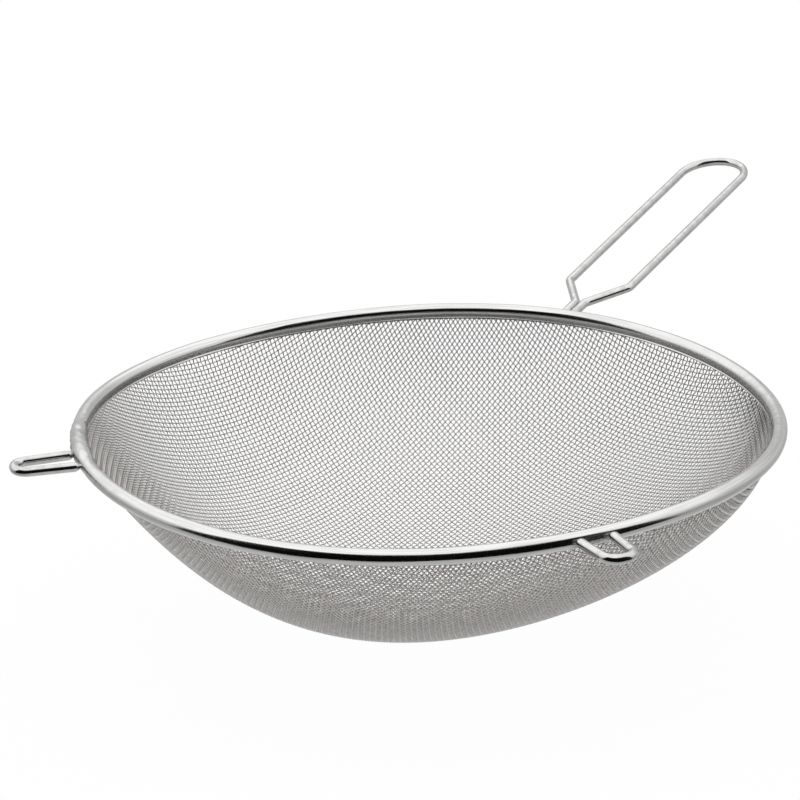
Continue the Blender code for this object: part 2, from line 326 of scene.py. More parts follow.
def add_ramp(tree, value, low, high, to_low=0.0, to_high=1.0, smooth=True):
    """Maps low..high of a value to to_low..to_high."""
    kind = "SMOOTHSTEP" if smooth else "LINEAR"
    inputs = {"Value": value, "From Min": low, "From Max": high, "To Min": to_low, "To Max": to_high}
    return add_node(tree, "ShaderNodeMapRange", inputs, interpolation_type=kind).outputs["Result"]


def add_mix(tree, factor, low, high):
    """Mixes two numbers by a factor."""
    return add_node(tree, "ShaderNodeMix", {0: factor, 2: low, 3: high}, data_type="FLOAT").outputs[0]


def add_colour_mix(tree, factor, low, high):
    """Mixes two colours by a factor. A colour is a socket or three numbers."""
    low, high = (value if isinstance(value, bpy.types.NodeSocket) else (*value, 1.0) for value in (low, high))
    return add_node(tree, "ShaderNodeMix", {0: factor, 6: low, 7: high}, data_type="RGBA").outputs[2]


def add_shares(tree, value, *added):
    """Adds to a value each of these (value, share) pairs, and holds the sum between 0 and 1."""
    for more, part in added:
        value = add_math(tree, "MULTIPLY_ADD", more, part, value, use_clamp=True)
    return value


GEOMETRY = ("Geometry", "NodeSocketGeometry", None)
MATERIAL = ("Material", "NodeSocketMaterial", None)
VECTOR = ("Vector", "NodeSocketVector", None)


def number(name, default=None, kind="NodeSocketFloat"):
    """A number socket for a new tree."""
    return name, kind, default


def new_tree(name, kind, inputs, outputs):
    """A node group with these (name, socket type, default) sockets, and its input and output nodes."""
    tree = bpy.data.node_groups.new(name, kind)
    for direction, sockets in (("INPUT", inputs), ("OUTPUT", outputs)):
        for socket_name, socket_kind, default in sockets:
            socket = tree.interface.new_socket(socket_name, in_out=direction, socket_type=socket_kind)
            if default is not None:
                socket.default_value = default
    return tree, tree.nodes.new("NodeGroupInput").outputs, tree.nodes.new("NodeGroupOutput").inputs


def named(tree, name, kind="FLOAT_VECTOR"):
    """A field that reads a named attribute."""
    node = add_node(tree, "GeometryNodeInputNamedAttribute", {"Name": name}, data_type=kind)
    return node.outputs["Attribute"]


def stored(tree, geometry, name, value, kind="FLOAT_VECTOR"):
    """The geometry with a field stored on its points."""
    inputs = {"Geometry": geometry, "Name": name, "Value": value}
    node = add_node(tree, "GeometryNodeStoreNamedAttribute", inputs, data_type=kind, domain="POINT")
    return node.outputs["Geometry"]


def finished(tree, geometry, material, out):
    """Ends a tree: smooth faces, realized, with the material set."""
    for kind, inputs in (
        ("GeometryNodeSetShadeSmooth", {}),
        ("GeometryNodeRealizeInstances", {}),
        ("GeometryNodeSetMaterial", {"Material": material}),
    ):
        geometry = add_node(tree, kind, {"Geometry": geometry, **inputs}).outputs["Geometry"]
    tree.links.new(geometry, out["Geometry"])
    return tree


def wire_tree(name):
    """Sweeps a round wire along each line, first moved off it by its crown times its outward vector."""
    inputs = [
        GEOMETRY,
        number("Wire Diameter", 0.0035),
        number("Sides", 12, "NodeSocketInt"),
        number("Crimp", 0.0),
        MATERIAL,
    ]
    tree, given, out = new_tree(name, "GeometryNodeTree", inputs, [GEOMETRY])
    lift = product(tree, named(tree, "crown", "FLOAT"), given["Crimp"])
    offset = add_vector_math(tree, "SCALE", named(tree, "outward"), lift)
    moved = add_node(tree, "GeometryNodeSetPosition", {"Geometry": given["Geometry"], "Offset": offset})
    line = add_node(tree, "GeometryNodeMeshToCurve", {"Mesh": moved.outputs["Geometry"]}).outputs["Curve"]
    spline = add_node(tree, "GeometryNodeSplineParameter")
    line = stored(tree, line, "along", spline.outputs["Length"], "FLOAT")
    circle = {"Resolution": given["Sides"], "Radius": product(tree, given["Wire Diameter"], 0.5)}
    ring = add_node(tree, "GeometryNodeCurvePrimitiveCircle", circle).outputs["Curve"]
    place = add_node(tree, "GeometryNodeInputPosition").outputs["Position"]
    ring = stored(tree, ring, "across", place)
    sweep = {"Curve": line, "Profile Curve": ring, "Scale": named(tree, "girth", "FLOAT"), "Fill Caps": True}
    tube = add_node(tree, "GeometryNodeCurveToMesh", sweep).outputs["Mesh"]
    lengthways = add_node(tree, "ShaderNodeCombineXYZ", {"Z": named(tree, "along", "FLOAT")})
    straight = add_vector_math(tree, "ADD", named(tree, "across"), lengthways.outputs["Vector"])
    return finished(tree, stored(tree, tube, "straight", straight), given["Material"], out)


def turned_tree(name):
    """Turns a closed section once round the Z axis. Its points are in order: X the radius, Z the height."""
    inputs = [GEOMETRY, number("Steps", 420, "NodeSocketInt"), MATERIAL]
    tree, given, out = new_tree(name, "GeometryNodeTree", inputs, [GEOMETRY])
    size = add_node(tree, "GeometryNodeAttributeDomainSize", {"Geometry": given["Geometry"]})
    count = size.outputs["Point Count"]
    columns = add_math(tree, "ADD", given["Steps"], 1.0)
    rows = add_math(tree, "ADD", count, 1.0)
    grid = {"Size X": 1.0, "Size Y": 1.0, "Vertices X": columns, "Vertices Y": rows}
    sheet = add_node(tree, "GeometryNodeMeshGrid", grid).outputs["Mesh"]
    place = add_node(tree, "GeometryNodeInputPosition").outputs["Position"]
    parts = add_node(tree, "ShaderNodeSeparateXYZ", {"Vector": place}).outputs
    turn = product(tree, add_math(tree, "ADD", parts["X"], 0.5), math.tau)
    row = add_math(tree, "ROUND", product(tree, add_math(tree, "ADD", parts["Y"], 0.5), count))
    index = add_math(tree, "FLOORED_MODULO", row, count)
    source = {"Geometry": given["Geometry"], "Value": place, "Index": index}
    sample = add_node(tree, "GeometryNodeSampleIndex", source, data_type="FLOAT_VECTOR", domain="POINT")
    spin = {"Vector": sample.outputs["Value"], "Axis": (0.0, 0.0, 1.0), "Angle": turn}
    spun = add_node(tree, "ShaderNodeVectorRotate", spin, rotation_type="AXIS_ANGLE").outputs["Vector"]
    # The row goes with each point, so that the rolled grain can follow the section.
    kept = stored(tree, sheet, "section", row, "FLOAT")
    moved = add_node(tree, "GeometryNodeSetPosition", {"Geometry": kept, "Position": spun})
    merge = {"Geometry": moved.outputs["Geometry"], "Distance": TOLERANCE}
    closed = add_node(tree, "GeometryNodeMergeByDistance", merge).outputs["Geometry"]
    return finished(tree, closed, given["Material"], out)


def add_attribute(mesh, name, values):
    values = np.asarray(values, np.float32)
    kind, key = ("FLOAT_VECTOR", "vector") if values.ndim == 2 else ("FLOAT", "value")
    mesh.attributes.new(name, kind, "POINT").data.foreach_set(key, values.ravel())


def line_mesh(name, lines, closed=False, **attributes):
    """A mesh of lines, each an array of points, with named arrays of values for their points."""
    points = np.concatenate(lines)
    starts = np.cumsum([0] + [len(line) for line in lines])
    edges = np.concatenate([
        np.stack([np.arange(first, last - 1), np.arange(first + 1, last)], 1)
        for first, last in zip(starts, starts[1:])
    ])
    if closed:
        edges = np.concatenate([edges, [[len(points) - 1, 0]]])
    mesh = bpy.data.meshes.new(name)
    mesh.vertices.add(len(points))
    mesh.vertices.foreach_set("co", points.astype(np.float32).ravel())
    mesh.edges.add(len(edges))
    mesh.edges.foreach_set("vertices", edges.astype(np.int32).ravel())
    for attribute, values in attributes.items():
        add_attribute(mesh, attribute, values)
    return mesh


def grown(name, mesh, tree_name, **inputs):
    """The plain mesh object that a tree makes of a mesh, with the inputs set by their identifiers."""
    tree = shared_tree(tree_name)
    source = bpy.data.objects.new(name + "_lines", mesh)
    bpy.context.scene.collection.objects.link(source)
    modifier = source.modifiers.new("grow", "NODES")
    modifier.node_group = tree
    identifiers = {s.name: s.identifier for s in tree.interface.items_tree if s.in_out == "INPUT"}
    for socket_name, value in inputs.items():
        modifier[identifiers[socket_name.replace("_", " ").title()]] = value
    graph = bpy.context.evaluated_depsgraph_get()
    made = bpy.data.meshes.new_from_object(source.evaluated_get(graph))
    made.name = name
    obj = bpy.data.objects.new(name, made)
    bpy.context.scene.collection.objects.link(obj)
    bpy.data.objects.remove(source)
    bpy.data.meshes.remove(mesh)
    return obj


def swept(name, lines, diameter, sides, look, crimp=0.0, **attributes):
    """Round wires along lines of points, with named arrays of values for the points."""
    mesh = line_mesh(name, lines, **attributes)
    wire = {"wire_diameter": diameter, "sides": sides, "crimp": crimp, "material": finish(look)}
    return grown(name, mesh, "wires on paths", **wire)


def set_down(obj, turn=None, rise=0.0, rim_radius=0.0):
    """Moves a piece's mesh from where it was drawn to its place on the part."""
    place = Matrix.Translation(RIM_MIDDLE)
    if turn is not None:
        start = Vector((rim_radius * math.cos(turn), rim_radius * math.sin(turn), float(rim_lift(turn))))
        place = Matrix.Translation(RIM_MIDDLE + start)
        place = place @ Matrix.Rotation(turn, 4, "Z") @ Matrix.Rotation(-rise, 4, "Y")
    obj.data.transform(place)
    return obj


def fitted(obj, node):
    """Rides a finished piece on the body, in the place of its CAD node."""
    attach(obj, BODY)
    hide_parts(node)
    return obj


# Finishes


def grain_group(name):
    """Fine lines that run along Z of the given coordinates."""
    inputs = [VECTOR, number("Across", 3000.0), number("Along", 60.0), number("Detail", 3.0)]
    tree, given, out = new_tree(name, "ShaderNodeTree", inputs, [number("Height"), number("Mask")])
    scale = {"X": given["Across"], "Y": given["Across"], "Z": given["Along"]}
    stretch = add_node(tree, "ShaderNodeCombineXYZ", scale).outputs["Vector"]
    place = add_vector_math(tree, "MULTIPLY", given["Vector"], stretch)
    noise = add_node(tree, "ShaderNodeTexNoise", {"Vector": place, "Scale": 1.0, "Detail": given["Detail"]})
    tree.links.new(noise.outputs["Fac"], out["Height"])
    tree.links.new(add_ramp(tree, noise.outputs["Fac"], 0.38, 0.68), out["Mask"])
    return tree


def mottle_group(name):
    """Soft patches where the polish is duller or the surface has been handled."""
    inputs = [VECTOR, number("Size", 0.006), number("Low", 0.42), number("High", 0.62)]
    tree, given, out = new_tree(name, "ShaderNodeTree", inputs, [number("Height"), number("Mask")])
    scale = add_math(tree, "DIVIDE", 1.0, given["Size"])
    look = {"Vector": given["Vector"], "Scale": scale, "Detail": 4.0, "Roughness": 0.55}
    noise = add_node(tree, "ShaderNodeTexNoise", look).outputs["Fac"]
    tree.links.new(noise, out["Height"])
    tree.links.new(add_ramp(tree, noise, given["Low"], given["High"]), out["Mask"])
    return tree


TREES = {
    "wires on paths": wire_tree,
    "turned section": turned_tree,
    "grain lines": grain_group,
    "mottled polish": mottle_group,
}


def shared_tree(name):
    """A node tree that is built the first time that it is asked for."""
    return bpy.data.node_groups.get(name) or TREES[name](name)


def add_group(tree, name, inputs):
    return add_node(tree, "ShaderNodeGroup", inputs, node_tree=shared_tree(name)).outputs


def read_attribute(tree, name, output="Fac"):
    return add_node(tree, "ShaderNodeAttribute", attribute_name=name).outputs[output]


def shaded(rgb, factor):
    return tuple(channel * factor for channel in rgb)


def new_finish(name):
    """A metal material, with its tree and its shader."""
    material = bpy.data.materials.new(name)
    material.use_nodes = True
    shader = material.node_tree.nodes["Principled BSDF"]
    shader.inputs["Metallic"].default_value = 1.0
    return material, material.node_tree, shader


def set_surface(tree, shader, base, rough, *layers):
    """Gives a shader its colour, its roughness and (height, depth in metres) bumps, one over the other."""
    tree.links.new(base, shader.inputs["Base Color"])
    tree.links.new(rough, shader.inputs["Roughness"])
    below = {}
    for height, depth in layers:
        inputs = {"Height": height, "Strength": 1.0, "Distance": depth, **below}
        below = {"Normal": add_node(tree, "ShaderNodeBump", inputs).outputs["Normal"]}
    tree.links.new(below["Normal"], shader.inputs["Normal"])


def polished_wire(name):
    """Bright drawn wire: fine lines along it, and duller patches from bending and handling."""
    settings = bpy.context.scene.strainer_finish
    material, tree, shader = new_finish(name)
    along = read_attribute(tree, "straight", "Vector")
    weld = read_attribute(tree, "weld")
    lines = add_group(tree, "grain lines", {"Vector": along, "Across": 2600.0, "Along": 25.0})
    marks = add_group(tree, "mottled polish", {"Vector": along, "Size": 0.004})
    dull = add_math(tree, "MAXIMUM", product(tree, marks["Mask"], 0.5), weld)
    base = add_colour_mix(tree, dull, shaded(settings.steel, 0.90), shaded(settings.steel, 0.64))
    added = (marks["Mask"], 0.06), (lines["Mask"], 0.05), (weld, 0.20)
    rough = add_shares(tree, settings.wire_roughness, *added)
    set_surface(tree, shader, base, rough, (lines["Height"], 0.000004), (marks["Height"], 0.00002))
    return material


def rolled_steel(name):
    """Rolled strip: a grain along the rim, faint marks across it, patches of satin polish, and painted shade
    on the skirts.
    """
    settings = bpy.context.scene.strainer_finish
    material, tree, shader = new_finish(name)
    place = add_node(tree, "ShaderNodeTexCoord").outputs["Object"]
    strip = read_attribute(tree, "strip", "Vector")
    skirt, satin, weld = (read_attribute(tree, key) for key in ("skirt", "satin", "weld"))
    lines = add_group(tree, "grain lines", {"Vector": strip, "Across": 18.0, "Along": 5200.0, "Detail": 4.0})
    cross = add_group(tree, "grain lines", {"Vector": strip, "Across": 900.0, "Along": 150.0, "Detail": 3.0})
    marks = add_group(tree, "grain lines", {"Vector": strip, "Across": 45.0, "Along": 1500.0, "Detail": 3.0})
    prints = add_group(tree, "mottled polish", {"Vector": place, "Size": 0.0006})
    patches = add_group(tree, "mottled polish", {"Vector": strip, "Size": 0.012})
    # The satin stretches are greyer, in patches, and brushed across.
    patchy = product(tree, satin, add_math(tree, "MULTIPLY_ADD", patches["Mask"], 0.65, 0.35))
    greyer = add_math(tree, "MAXIMUM", product(tree, marks["Mask"], 0.7), patchy)
    brushed = add_math(tree, "MULTIPLY_ADD", cross["Mask"], 0.20, 0.04)
    added = (marks["Mask"], 0.07), (lines["Mask"], 0.05), (satin, brushed), (weld, 0.16)
    rough = add_shares(tree, settings.rim_roughness, *added)
    # The skirts keep a dull, rough face, printed by the cloth that they were pressed on. Their darker colour
    # is painted shade under the bead.
    rough = add_mix(tree, skirt, rough, 0.35)
    printed = product(tree, prints["Height"], skirt)
    burnt = product(tree, weld, add_ramp(tree, prints["Height"], 0.35, 0.60))
    # The dark share is painted shade on the skirts, together with the real burnt patches at the welds.
    dull = add_math(tree, "MAXIMUM", product(tree, skirt, 0.30), burnt)
    base = add_colour_mix(tree, greyer, settings.steel, shaded(settings.steel, 0.78))
    base = add_colour_mix(tree, dull, base, shaded(settings.steel, 0.45))
    bumps = (
        (lines["Height"], 0.000006),
        (cross["Height"], 0.000004),
        (marks["Height"], 0.000008),
        (printed, 0.00008),
    )
    set_surface(tree, shader, base, rough, *bumps)
    return material


def woven_wire(name):
    """Cloth wire: soft bright steel, each wire a little different, with duller patches."""
    settings = bpy.context.scene.strainer_finish
    material, tree, shader = new_finish(name)
    place = add_node(tree, "ShaderNodeTexCoord").outputs["Object"]
    marks = add_group(tree, "mottled polish", {"Vector": place, "Size": 0.0016})
    mask = add_shares(tree, 0.0, (marks["Mask"], 0.5), (read_attribute(tree, "tone"), 0.5))
    base = add_colour_mix(tree, mask, settings.cloth_steel, shaded(settings.cloth_steel, 0.80))
    rough = add_shares(tree, settings.cloth_roughness, (marks["Mask"], 0.06))
    set_surface(tree, shader, base, rough, (marks["Height"], 0.00001))
    return material


FINISHES = {"polished_wire": polished_wire, "rolled_steel": rolled_steel, "woven_wire": woven_wire}


def finish(name):
    return bpy.data.materials.get(name) or FINISHES[name](name)


# The cloth


def rim_lift(turn):
    """How far the rim stands above its middle plane at this angle."""
    tilt = RIM_TILT * np.cos(turn - RIM_TILT_TOWARDS)
    return tilt + RIM_WAVE * np.cos(WAVE_CRESTS * (turn - FIRST_CREST))


def bead_middle_radius(rim):
    return (rim.diameter - rim.bead) / 2


def rim_point(rim, along, across):
    """Radius and height of a point given along the skirts and across them, from the middle of the bead."""
    fall = rim.skirt_fall
    radius = bead_middle_radius(rim) - along * math.cos(fall) + across * math.sin(fall)
    return radius, -rim.bead_drop - along * math.sin(fall) - across * math.cos(fall)


class DrawnBowl:
    """The middle of the drawn cloth, as a surface over a flat disc of q = arc length from the lowest point.

    It is worked out with the lean along X, and turned to the part's frame at the end.
    """

    STEP = 2e-5
    TABLE = 4000
    BEYOND = 0.060
    BEYOND_STEPS = 300
    LOWEST = 0.00048
    ROUNDS = 6
    LONGEST_MOVE = 0.0015

    def __init__(self, rim):
        start = np.array(rim_point(rim, rim.skirt_reach, 0.0))
        floor = np.array((0.0, CLOTH_HALF - BOWL_DEPTH))
        first = start - WALL_PULL * np.array((math.cos(WALL_FALL), math.sin(WALL_FALL)))
        second = floor + np.array((FLOOR_PULL, 0.0))
        t = np.linspace(0.0, 1.0, self.TABLE)[:, None]
        wall = start * (1 - t) ** 3 + first * 3 * (1 - t) ** 2 * t
        wall = wall + second * 3 * (1 - t) * t**2 + floor * t**3
        slope = np.array((math.cos(rim.skirt_fall), math.sin(rim.skirt_fall)))
        skirt = start + np.linspace(self.BEYOND, self.STEP, self.BEYOND_STEPS)[:, None] * slope
        # The lowest part lies flat on what the bowl stands on.
        wall[:, 1] = np.maximum(wall[:, 1], self.LOWEST - RIM_HEIGHT)
        path = np.concatenate([skirt, wall])[::-1]
        self.radius, self.height = path.T
        self.arc = np.concatenate([[0.0], np.cumsum(np.hypot(*np.diff(path, axis=0).T))])
        self.edge = float(np.interp(start[0], self.radius, self.arc))
        self.top = start[1]

    def place(self, q):
        arc = np.hypot(q[..., 0], q[..., 1])
        height = np.interp(arc, self.arc, self.height)
        scale = np.interp(arc, self.arc, self.radius) / np.maximum(arc, 1e-9)
        scale = np.where(arc > 1e-9, scale, 1.0)
        part = np.clip((self.top - height) / (self.top + RIM_HEIGHT), 0.0, 1.0)
        lean = LEAN_SLOPE * part + LEAN_BEND * part**2 + LEAN_TWIST * part**3
        lift = rim_lift(np.arctan2(q[..., 1], q[..., 0]) + LEAN_TOWARDS) * (1.0 - part)
        return np.stack([scale * q[..., 0] + lean, scale * q[..., 1], height + lift], -1)

    def tangents(self, q):
        steps = self.STEP * np.eye(2)
        return [(self.place(q + step) - self.place(q - step)) / (2 * self.STEP) for step in steps]

    def inward(self, q):
        """The unit vector square to the cloth, towards the inside of the bowl."""
        square = np.cross(*self.tangents(q))
        return square / np.linalg.norm(square, axis=-1, keepdims=True)

    def solve(self, q, wanted):
        """Moves each q until both of the values that wanted gives for its point are nothing."""
        for _ in range(self.ROUNDS):
            along_x, along_y = self.tangents(q)
            first, second, first_slope, second_slope = wanted(self.place(q))
            a, b = (first_slope * along_x).sum(-1), (first_slope * along_y).sum(-1)
            c, d = (second_slope * along_x).sum(-1), (second_slope * along_y).sum(-1)
            area = a * d - b * c
            area = np.where(np.abs(area) < 1e-12, np.nan, area)
            move = np.stack([(first * d - second * b) / area, (a * second - c * first) / area], -1)
            reach = np.linalg.norm(move, axis=-1, keepdims=True)
            q = q - move * np.minimum(1.0, self.LONGEST_MOVE / np.maximum(reach, 1e-12))
        return q


def straight_wires(bowl, centre, directions, pitch, count):
    """The crossings along the wires that run straight over the bowl from the drape's centre."""
    q = np.repeat(np.array([centre]), len(directions), 0)
    heading = np.stack([np.cos(directions), np.sin(directions)], -1)
    along_x, along_y = bowl.tangents(q)
    ahead = heading[:, :1] * along_x + heading[:, 1:] * along_y
    step, found = heading * pitch, [q]
    for _ in range(count - 1):
        here, square = bowl.place(q), bowl.inward(q)
        ahead = ahead - (ahead * square).sum(-1, keepdims=True) * square
        ahead /= np.linalg.norm(ahead, axis=-1, keepdims=True)
        side = np.cross(square, ahead)

        def wanted(point):
            apart = point - here
            return (apart**2).sum(-1) - pitch**2, (apart * side).sum(-1), 2 * apart, side

        after = bowl.solve(q + step, wanted)
        step, q = after - q, after
        ahead = bowl.place(q) - here
        found.append(q)
    return np.stack(found, 1)


def draped_net(bowl, cloth):
    """The crossings of the cloth: [warp, weft, 2], each one pitch from its neighbours along both wires."""
    pitch = cloth.pitch
    reach = bowl.edge + NET_BEYOND
    count = int(NET_SPREAD * reach / pitch)
    directions = np.array([cloth.warp, cloth.warp + math.pi, cloth.weft, cloth.weft + math.pi])
    arms = straight_wires(bowl, (cloth.centre_x, cloth.centre_y), directions, pitch, count)
    middle = count - 1
    net = np.full((2 * count - 1, 2 * count - 1, 2), np.nan)
    net[middle:, middle], net[middle::-1, middle] = arms[0], arms[1]
    net[middle, middle:], net[middle, middle::-1] = arms[2], arms[3]
    # The four quarters grow outwards together, one diagonal row of crossings at a time.
    quarters = np.array([(1, 1), (1, -1), (-1, 1), (-1, -1)])
    for diagonal in range(2, 2 * count - 1):
        i = np.arange(max(1, diagonal - count + 1), min(diagonal, count))
        step_i, step_j = np.repeat(quarters, len(i), 0).T
        warp = middle + step_i * np.tile(i, len(quarters))
        weft = middle + step_j * np.tile(diagonal - i, len(quarters))
        near_a, near_b = net[warp - step_i, weft], net[warp, weft - step_j]
        far = net[warp - step_i, weft - step_j]
        known = np.isfinite(near_a[:, 0]) & np.isfinite(near_b[:, 0])
        if not known.any():
            break
        warp, weft, near_a, near_b, far = (values[known] for values in (warp, weft, near_a, near_b, far))
        point_a, point_b = bowl.place(near_a), bowl.place(near_b)

        def wanted(point):
            from_a, from_b = point - point_a, point - point_b
            return (from_a**2).sum(-1) - pitch**2, (from_b**2).sum(-1) - pitch**2, 2 * from_a, 2 * from_b

        q = bowl.solve(near_a + near_b - far, wanted)
        point = bowl.place(q)
        off = np.abs(np.linalg.norm(point - point_a, axis=-1) - pitch)
        off = np.maximum(off, np.abs(np.linalg.norm(point - point_b, axis=-1) - pitch))
        q[(off > TOLERANCE) | (np.hypot(*q.T) > reach) | ~np.isfinite(off)] = np.nan
        net[warp, weft] = q
    return net


def cut_line(values, arc, limit):
    """The stretch of a line within the limit, with its two ends set exactly on it."""
    inside = np.nonzero(arc <= limit)[0]
    if len(inside) < 2:
        return None

    def end(index, beyond):
        if not (0 <= beyond < len(arc) and np.isfinite(arc[beyond])):
            return values[:0]
        part = (limit - arc[index]) / (arc[beyond] - arc[index])
        return (values[index] + part * (values[beyond] - values[index]))[None]

    first, last = inside[0], inside[-1]
    return np.concatenate([end(first, first - 1), values[first : last + 1], end(last, last + 1)])


def unbroken(known, middle):
    """The stretch of known values that the middle is in."""
    gaps = np.nonzero(~known)[0]
    return slice(gaps[gaps < middle].max(initial=-1) + 1, gaps[gaps > middle].min(initial=len(known)))


def woven_lines(bowl, net, limit, flat=0.2):
    """Each wire of the net as points, inward vectors and crowns: +1 over the other wires, -1 under them.

    A wire runs level over each crossing for a little way, and straight down to the next one.
    """
    known = np.isfinite(net[..., 0])
    place = np.full(net.shape[:2] + (3,), np.nan)
    inward = place.copy()
    place[known] = bowl.place(net[known])
    inward[known] = bowl.inward(net[known])
    arc = np.hypot(net[..., 0], net[..., 1])
    index = np.add.outer(np.arange(net.shape[0]), np.arange(net.shape[1]))
    crown = np.where(index % 2 == 0, 1.0, -1.0)
    table = np.concatenate([place, inward, crown[..., None], arc[..., None]], -1)
    families = []
    for family, sign in ((table, 1.0), (table.transpose(1, 0, 2), -1.0)):
        wires = []
        for row in family:
            there = np.isfinite(row[:, 0])
            found = np.nonzero(there)[0]
            if len(found) < 3:
                continue
            run = row[unbroken(there, found[np.argmin(row[found, 7])])]
            if len(run) < 3:
                continue
            step = np.gradient(run[:, [0, 1, 2, 7]], axis=0)
            points = np.repeat(run, 2, 0)
            points[0::2, [0, 1, 2, 7]] -= flat * step
            points[1::2, [0, 1, 2, 7]] += flat * step
            points[:, 6] *= sign
            cut = cut_line(points, points[:, 7], limit)
            if cut is not None and len(cut) > 3:
                wires.append(cut)
        families.append(wires)
    return families


def turned_by_lean(points):
    """Turns points or vectors from the bowl's own frame to the part's."""
    c, s = math.cos(LEAN_TOWARDS), math.sin(LEAN_TOWARDS)
    return points @ np.array([[c, s, 0.0], [-s, c, 0.0], [0.0, 0.0, 1.0]])


def shared_out(wires, sides, most_triangles):
    """Shares the wires out in their order, to as few pieces as keep to the most triangles."""
    ends = np.cumsum([len(wire) for wire in wires])
    pieces = math.ceil(ends[-1] * sides * 2 / most_triangles)
    for piece in range(pieces):
        low, high = ends[-1] * piece / pieces, ends[-1] * (piece + 1) / pieces
        yield [wire for wire, end in zip(wires, ends) if low < end <= high]


class STRAINER_OT_cloth(bpy.types.Operator):
    """Weave the bowl's wire cloth, draped over its drawn shape"""

    bl_idname = "strainer.cloth"
    bl_label = "Weave the cloth"

    MOST_TRIANGLES = 190_000
    UNDER_SKIRTS = 0.0019
    CRIMP = 0.51
    SEED = 14

    def execute(self, context):
        rim, cloth = context.scene.strainer_rim, context.scene.strainer_cloth
        bowl = DrawnBowl(rim)
        net = draped_net(bowl, cloth)
        chance = np.random.default_rng(self.SEED)
        for family, wires in zip(("warp", "weft"), woven_lines(bowl, net, bowl.edge + self.UNDER_SKIRTS)):
            for group, members in enumerate(shared_out(wires, cloth.sides, self.MOST_TRIANGLES), 1):
                table = np.concatenate(members)
                piece = swept(
                    f"cloth_{family}_{group}",
                    [turned_by_lean(wire[:, :3]) for wire in members],
                    cloth.wire,
                    cloth.sides,
                    "woven_wire",
                    cloth.wire * self.CRIMP,
                    outward=turned_by_lean(table[:, 3:6]),
                    crown=table[:, 6],
                    girth=np.ones(len(table)),
                    tone=np.concatenate([np.full(len(wire), chance.uniform(0.0, 1.0)) for wire in members]),
                )
                fitted(set_down(piece), "mesh_bowl")
        return {"FINISHED"}


# The rim


def folded_side(rim, inset, steps):
    """One wall of the strip, from the back of the bead to the end of its skirt, as (along, across) points."""
    half_gap = SKIRT_HALF - inset
    radius = rim.bead / 2 - inset
    leave = math.asin((half_gap + BEAD_FILLET) / radius)
    turns = np.linspace(math.pi, leave, steps + 1)
    bead = radius * np.stack([np.cos(turns), np.sin(turns)], 1)
    corner = np.array((bead[-1, 0] + BEAD_FILLET * math.tan(leave), half_gap))
    after = corner + (BEAD_FILLET, 0.0)
    part = np.linspace(0.0, 1.0, 7)[1:, None]
    bend = bead[-1] * (1 - part) ** 2 + corner * 2 * part * (1 - part) + after * part**2
    skirt = np.linspace(after, (rim.skirt_reach, half_gap), 4)[1:]
    return np.concatenate([bead, bend, skirt])


def rim_section(rim):
    """The strip's closed section from the middle of the bead, and how many of its points are outside."""
    lip = rim.thickness / 2
    turns = np.radians([45.0, 90.0, 135.0])
    fold = np.array((rim.skirt_reach, SKIRT_HALF - lip)) + lip * np.stack([np.sin(turns), np.cos(turns)], 1)
    outside, inside = folded_side(rim, 0.0, FACE_STEPS), folded_side(rim, rim.thickness, BACK_STEPS)
    under = (1.0, -1.0)
    face = [fold[::-1], outside[::-1], outside[1:] * under, fold * under]
    back = [inside[::-1] * under, inside[1:]]
    return np.concatenate(face + back), sum(len(part) for part in face)


def smooth_step(low, high, value):
    """Runs from 0 at low to 1 at high, either way round."""
    part = np.clip((value - low) / (high - low), 0.0, 1.0)
    return part * part * (3.0 - 2.0 * part)


def near(value, middle, width):
    """1 at the middle, and fading to nothing past the width on both sides."""
    return np.exp(-(((value - middle) / width) ** 2))


def turn_between(first, second):
    """From the second angle to the first, the short way round."""
    return np.angle(np.exp(1j * (first - second)))


def strip_lift(rim, around, tilt):
    """How far the strip's face stands off its plain shape, at angles round the rim and round the bead."""
    wave = np.zeros(len(around))
    for waves, turn, size in ROLLER_WAVES:
        wave += size * np.sin(waves * around + turn + 1.3 * np.sin(3 * around + tilt))
    lift = rim.wave * (wave - wave.max())
    # The lapped end stands up on the far side of the hook, and fades out past it.
    degrees = np.degrees(around)
    slant = 1.6 * np.sin(tilt)
    lap = smooth_step(*LAP_RISES, degrees + slant) * (1.0 - smooth_step(*LAP_FADES, degrees))
    lift = lift + rim.lap_rise * lap
    for middle, width, lean_way, depth in PRESSED_FLATS:
        facing = near(turn_between(tilt, lean_way), 0.0, FLAT_SPREAD)
        lift = lift - depth * near(degrees, middle, width) * facing
    # Small dents and swellings from hammering, all round the joint.
    middle, width, depth = HAMMERED
    dents = np.sin(degrees * 2.9 + 1.7 * np.sin(tilt * 2.0 + 0.6)) * np.sin(tilt * 2.6 + degrees * 0.8)
    dents += 0.6 * np.sin(degrees * 4.7 + 2.0 + 2.2 * tilt) * np.sin(tilt * 4.1 - degrees * 1.1)
    return lift - depth * near(degrees, middle, width) * (1.0 + dents)


def weld_marks(rim, around, tilt):
    """How strongly the strip is burnt: where the wire ends are welded on, and beside the left hook."""
    weld = np.zeros(len(around))
    for turn, half in WELDED:
        sideways = np.abs(turn_between(around, turn)) * rim.diameter / 2
        beside = smooth_step(*BURN_SPREAD, sideways - half)
        weld += beside * smooth_step(*BURN_ROUND, np.abs(tilt - BURN_MIDDLE))
    middle, width, strength = JOINT_MARK
    weld += strength * near(np.degrees(around) - 1.6 * np.sin(2.0 * tilt), middle, width)
    return np.clip(weld, 0.0, 1.0)


